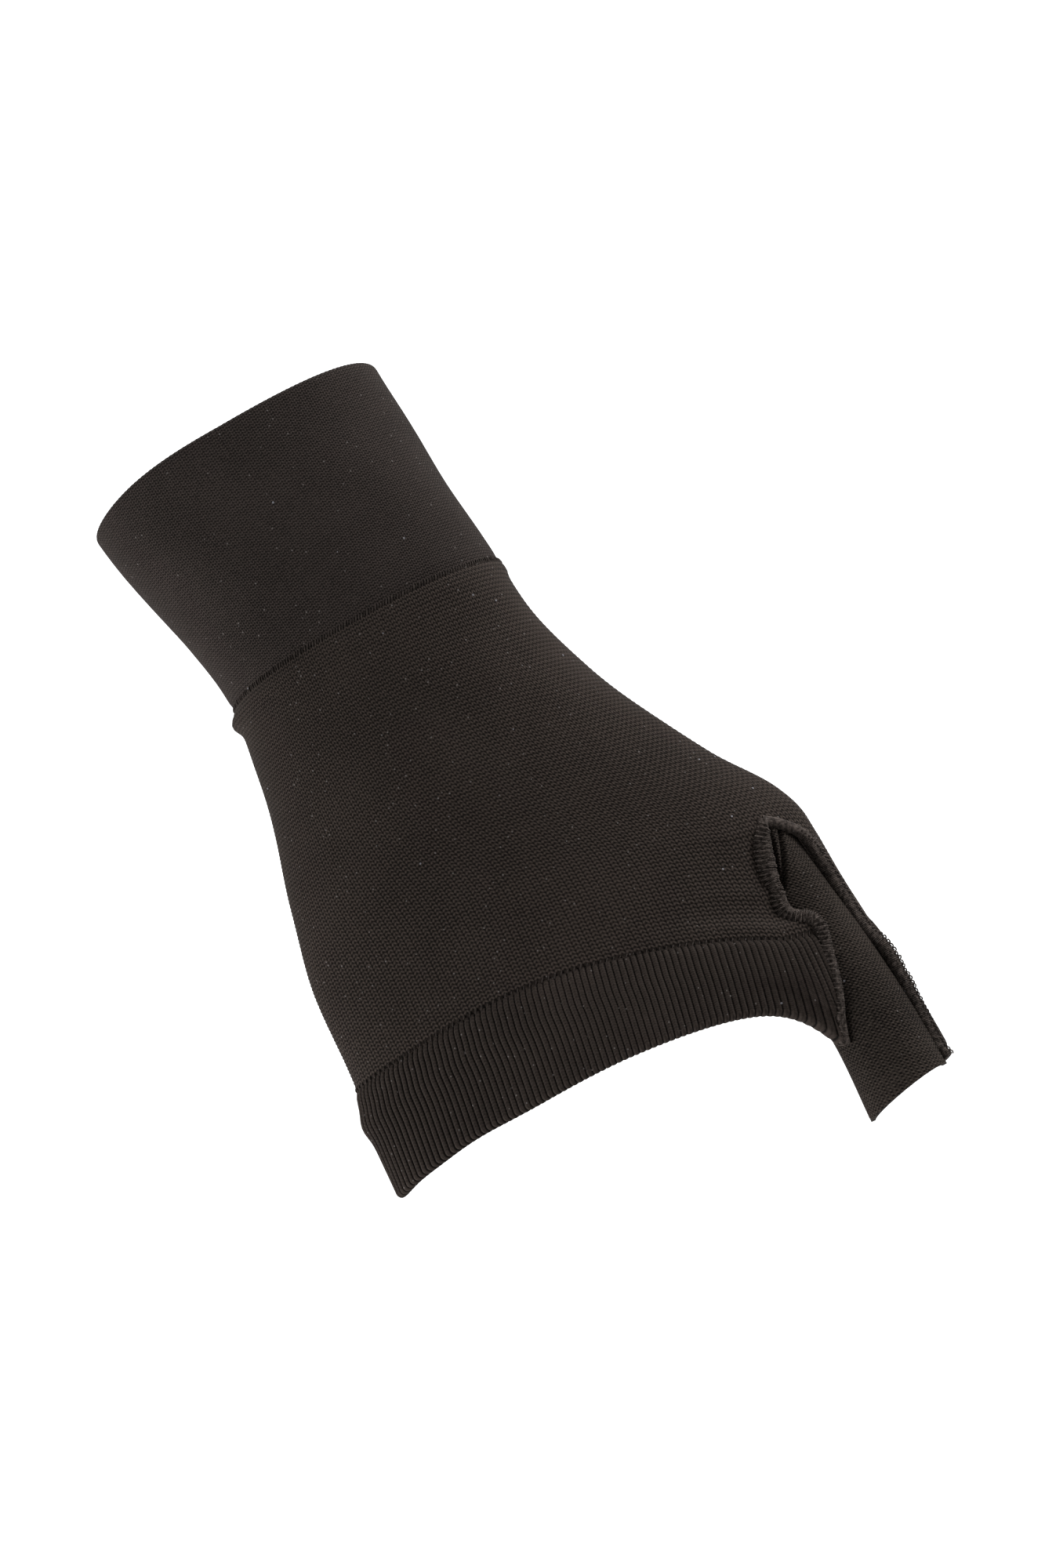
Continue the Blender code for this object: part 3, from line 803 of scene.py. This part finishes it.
PALMAR_SEAM = (  # reach, x, lean round the stall in degrees, girth
    (0.0622, 0.0468, 58, 0.30), (0.0634, 0.0486, 46, 0.40), (0.0652, 0.0506, 32, 0.55),
    (0.0672, 0.0521, 20, 0.80), (0.0700, 0.0528, 10, 0.98), (0.0740, 0.0530, 5, 1.10),
    (0.0800, 0.0532, 3, 1.12), (0.0850, 0.0534, 2, 1.08), (0.0885, 0.0538, 2, 1.04),
    (0.0910, 0.0545, 2, 1.14), (0.0935, 0.0551, 2, 1.20), (0.0985, 0.0552, 2, 1.18),
    (0.1050, 0.0550, 2, 1.12), (0.1110, 0.0547, 2, 1.10), (0.1150, 0.0547, 2, 1.06),
    (0.1170, 0.0552, 3, 0.95),
)
palmar_rows = []
for reach, x, lean, girth in PALMAR_SEAM:
    middle, level, radius = along(THUMB_LINE, reach)
    lean = math.radians(lean)
    rise = float(level) + (float(radius) + 0.0016) * math.sin(lean)
    palmar_rows.append((x, -reach, rise, girth, math.cos(lean), 0.0, math.sin(lean)))
palmar_path = smooth_path(palmar_rows, SEAM_POINTS)
palmar_seam = make_overlock(
    "palmar_seam", palmar_path, turns=185, radius=0.00114, thread=SEAM_THREAD, seed=8,
)
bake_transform(palmar_seam)
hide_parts("palmar_overlock")

# ---------------------------------------------------------------------------------------------
# Bar tack: a few threads drawn tight across the dorsal seam at the foot of the slit, which
# pinch its ridge.

TACK_REACH, TACK_SPREAD = 0.0755, 0.0009
TACK_HALF_WIDTH, TACK_HALF_HEIGHT = 0.00125, 0.00115


def make_tack():
    rows = []
    x = float(np.interp(TACK_REACH, DORSAL_SEAM[:, 0], DORSAL_SEAM[:, 1]))
    z = float(seam_height(TACK_REACH))
    for turn in np.linspace(-0.2, 3.2, 40):
        lean = math.pi * turn
        shift = TACK_SPREAD * (turn - 1.5) / 1.7
        across, rise = TACK_HALF_WIDTH * math.cos(lean), TACK_HALF_HEIGHT * math.sin(lean)
        y = -TACK_REACH - shift - 0.4 * across
        rows.append((x + across, y, z + rise, 1.0, math.cos(lean), 0.0, math.sin(lean)))
    path = np.array(rows)
    return make_overlock("tack_threads", path, turns=36, radius=0.00022, thread=0.00010, seed=5)


tack_threads = make_tack()
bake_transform(tack_threads)
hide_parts("seam_tack")

# ---------------------------------------------------------------------------------------------
# Linking: a chain of small stitches in sewing thread where cuff and hand body meet, and a finer
# one along the ribbed welt.

CUFF_STITCHES, LINKING_POINTS, LINKING_INSET = 260, 400, 0.0001
linking_yarn = yarn_finish(
    "linking_yarn",
    dark=(0.0110, 0.0090, 0.0080),
    lit=(0.036, 0.0290, 0.0255),
    depth=0.3,
    rough=0.8,
    sheen=0.01,
)
twisted_thread(linking_yarn, 0.6)


def linking_tree():
    """Geometry nodes that lay one small bent stitch after another across a path."""
    tree = bpy.data.node_groups.new("linking", "GeometryNodeTree")
    face = tree.interface
    face.new_socket("Path", in_out="INPUT", socket_type="NodeSocketGeometry")
    face.new_socket("Stitches", in_out="INPUT", socket_type="NodeSocketInt")
    for label in ("Stitch length", "Thread radius"):
        face.new_socket(label, in_out="INPUT", socket_type="NodeSocketFloat")
    face.new_socket("Seed", in_out="INPUT", socket_type="NodeSocketInt")
    face.new_socket("Yarn", in_out="INPUT", socket_type="NodeSocketMaterial")
    face.new_socket("Chain", in_out="OUTPUT", socket_type="NodeSocketGeometry")
    inputs = tree.nodes.new("NodeGroupInput").outputs
    curve = node(tree, "GeometryNodeMeshToCurve", Mesh=inputs["Path"]).outputs[0]
    spots = node(tree, "GeometryNodeCurveToPoints", Curve=curve, Count=inputs["Stitches"])
    out_of_cloth = carried(tree, "out")
    facing = node(tree, "FunctionNodeAxesToRotation", primary_axis="X", secondary_axis="Z",
                  _0=spots.outputs["Tangent"], _1=out_of_cloth).outputs[0]
    half = sums(tree, "MULTIPLY", inputs["Stitch length"], 0.5)
    ends = []
    for way in (-1.0, 1.0):
        ends.append(node(tree, "ShaderNodeCombineXYZ", X=sums(tree, "MULTIPLY", half, 0.45 * way),
                         Y=sums(tree, "MULTIPLY", half, way)).outputs[0])
    line = node(tree, "GeometryNodeCurvePrimitiveLine", Start=ends[0], End=ends[1]).outputs[0]
    dots = node(tree, "GeometryNodeResampleCurve", Curve=line, Count=5).outputs[0]
    share = tree.nodes.new("GeometryNodeSplineParameter").outputs["Factor"]
    arch = sums(tree, "SINE", sums(tree, "MULTIPLY", share, math.pi))
    rise = sums(tree, "MULTIPLY", arch, sums(tree, "MULTIPLY", half, 0.5))
    lifted = node(tree, "ShaderNodeCombineXYZ", Z=rise).outputs[0]
    bent = node(tree, "GeometryNodeSetPosition", Geometry=dots, Offset=lifted).outputs[0]
    ring = node(tree, "GeometryNodeCurvePrimitiveCircle", Resolution=6, Radius=inputs["Thread radius"])
    strand = node(tree, "GeometryNodeCurveToMesh", Curve=bent, Profile_Curve=ring.outputs[0], Fill_Caps=True)
    vary = node(tree, "FunctionNodeRandomValue", data_type="FLOAT", Seed=inputs["Seed"])
    vary.inputs[2].default_value = 0.75
    vary.inputs[3].default_value = 1.25
    placed = node(tree, "GeometryNodeInstanceOnPoints", Points=spots.outputs["Points"],
                  Instance=strand.outputs[0], Rotation=facing, Scale=vary.outputs[1])
    whole = node(tree, "GeometryNodeRealizeInstances", Geometry=placed.outputs[0]).outputs[0]
    shaded = node(tree, "GeometryNodeSetShadeSmooth", Geometry=whole).outputs[0]
    dyed = node(tree, "GeometryNodeSetMaterial", Geometry=shaded, Material=inputs["Yarn"])
    out = tree.nodes.new("NodeGroupOutput")
    tree.links.new(dyed.outputs[0], out.inputs[0])
    return tree


linking = linking_tree()


def make_linking(name, points, count, length, radius):
    centre = points.mean(axis=0)
    rows = [(*p, 1.0, p[0] - centre[0], 0.0, p[2] - centre[2]) for p in points]
    obj = path_object(name, np.array(rows))
    chain = obj.modifiers.new("linking", "NODES")
    chain.node_group = linking
    set_inputs(chain, stitches=count, stitch_length=length, thread_radius=radius, seed=11)
    set_inputs(chain, yarn=linking_yarn)
    return as_plain_mesh(obj)


cuff_points, _ = closed_course(lambda angle: JOIN + 0.0 * angle, LINKING_POINTS, LINKING_INSET)
cuff_chain = make_linking("cuff_chain", cuff_points, CUFF_STITCHES, length=0.0011, radius=0.00013)
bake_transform(cuff_chain)
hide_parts("cuff_linking")
rib_points, _, _ = sleeve_course(rib_line, LINKING_POINTS, LINKING_INSET)
rib_chain = make_linking("rib_chain", rib_points, RIBS, length=0.0009, radius=0.00012)
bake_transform(rib_chain)
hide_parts("rib_linking")

# ---------------------------------------------------------------------------------------------
# Studio: a plain pale floor well below the sleeve, large soft lights and the camera above the
# back of the hand, a little towards the fingers.

FLOOR_LEVEL = -0.16
bpy.context.scene.view_settings.view_transform = "Standard"
bpy.ops.mesh.primitive_plane_add(size=6, location=(0, 0, FLOOR_LEVEL))
floor = bpy.context.object
floor.name = "studio_floor"
paper = bpy.data.materials.new("studio_paper")
paper.use_nodes = True
paper.node_tree.nodes["Principled BSDF"].inputs["Base Color"].default_value = (0.88, 0.88, 0.88, 1)
paper.node_tree.nodes["Principled BSDF"].inputs["Roughness"].default_value = 0.9
floor.data.materials.append(paper)

world = bpy.data.worlds.new("studio_world")
bpy.context.scene.world = world
world.use_nodes = True
world.node_tree.nodes["Background"].inputs["Color"].default_value = (1.0, 1.0, 1.0, 1)
world.node_tree.nodes["Background"].inputs["Strength"].default_value = 0.62


def soft_light(name, place, size, power):
    data = bpy.data.lights.new(name, "AREA")
    data.shape = "SQUARE"
    data.size = size
    data.energy = power
    lamp = bpy.data.objects.new(name, data)
    lamp.location = place
    lamp.rotation_euler = (-Vector(place)).to_track_quat("-Z", "Y").to_euler()
    bpy.context.scene.collection.objects.link(lamp)


soft_light("key_light", (1.05, 0.45, 0.27), 0.6, 24.0)
soft_light("fill_light", (-1.10, -0.30, 0.25), 0.6, 23.0)

TILT = math.radians(11)
ROLL = math.radians(29.5)
DISTANCE = 1.15
VIEW_HEIGHT = 0.2941
look_at = Vector((0.0114, -0.0332, 0.0))
forward = Vector((0, math.sin(TILT), -math.cos(TILT)))
fingers = (Vector((0, -1, 0)) - forward * forward.dot(Vector((0, -1, 0)))).normalized()
thumb_side = Vector((1, 0, 0))
up = -math.cos(ROLL) * fingers + math.sin(ROLL) * thumb_side
right = math.sin(ROLL) * fingers + math.cos(ROLL) * thumb_side
lens = bpy.data.cameras.new("camera")
lens.sensor_fit = "VERTICAL"
lens.sensor_height = 36.0
lens.lens = 36.0 * DISTANCE / VIEW_HEIGHT
camera = bpy.data.objects.new("camera", lens)
turn = Matrix((right, up, -forward)).transposed().to_4x4()
camera.matrix_world = Matrix.Translation(look_at - forward * DISTANCE) @ turn
bpy.context.scene.collection.objects.link(camera)
bpy.context.scene.camera = camera
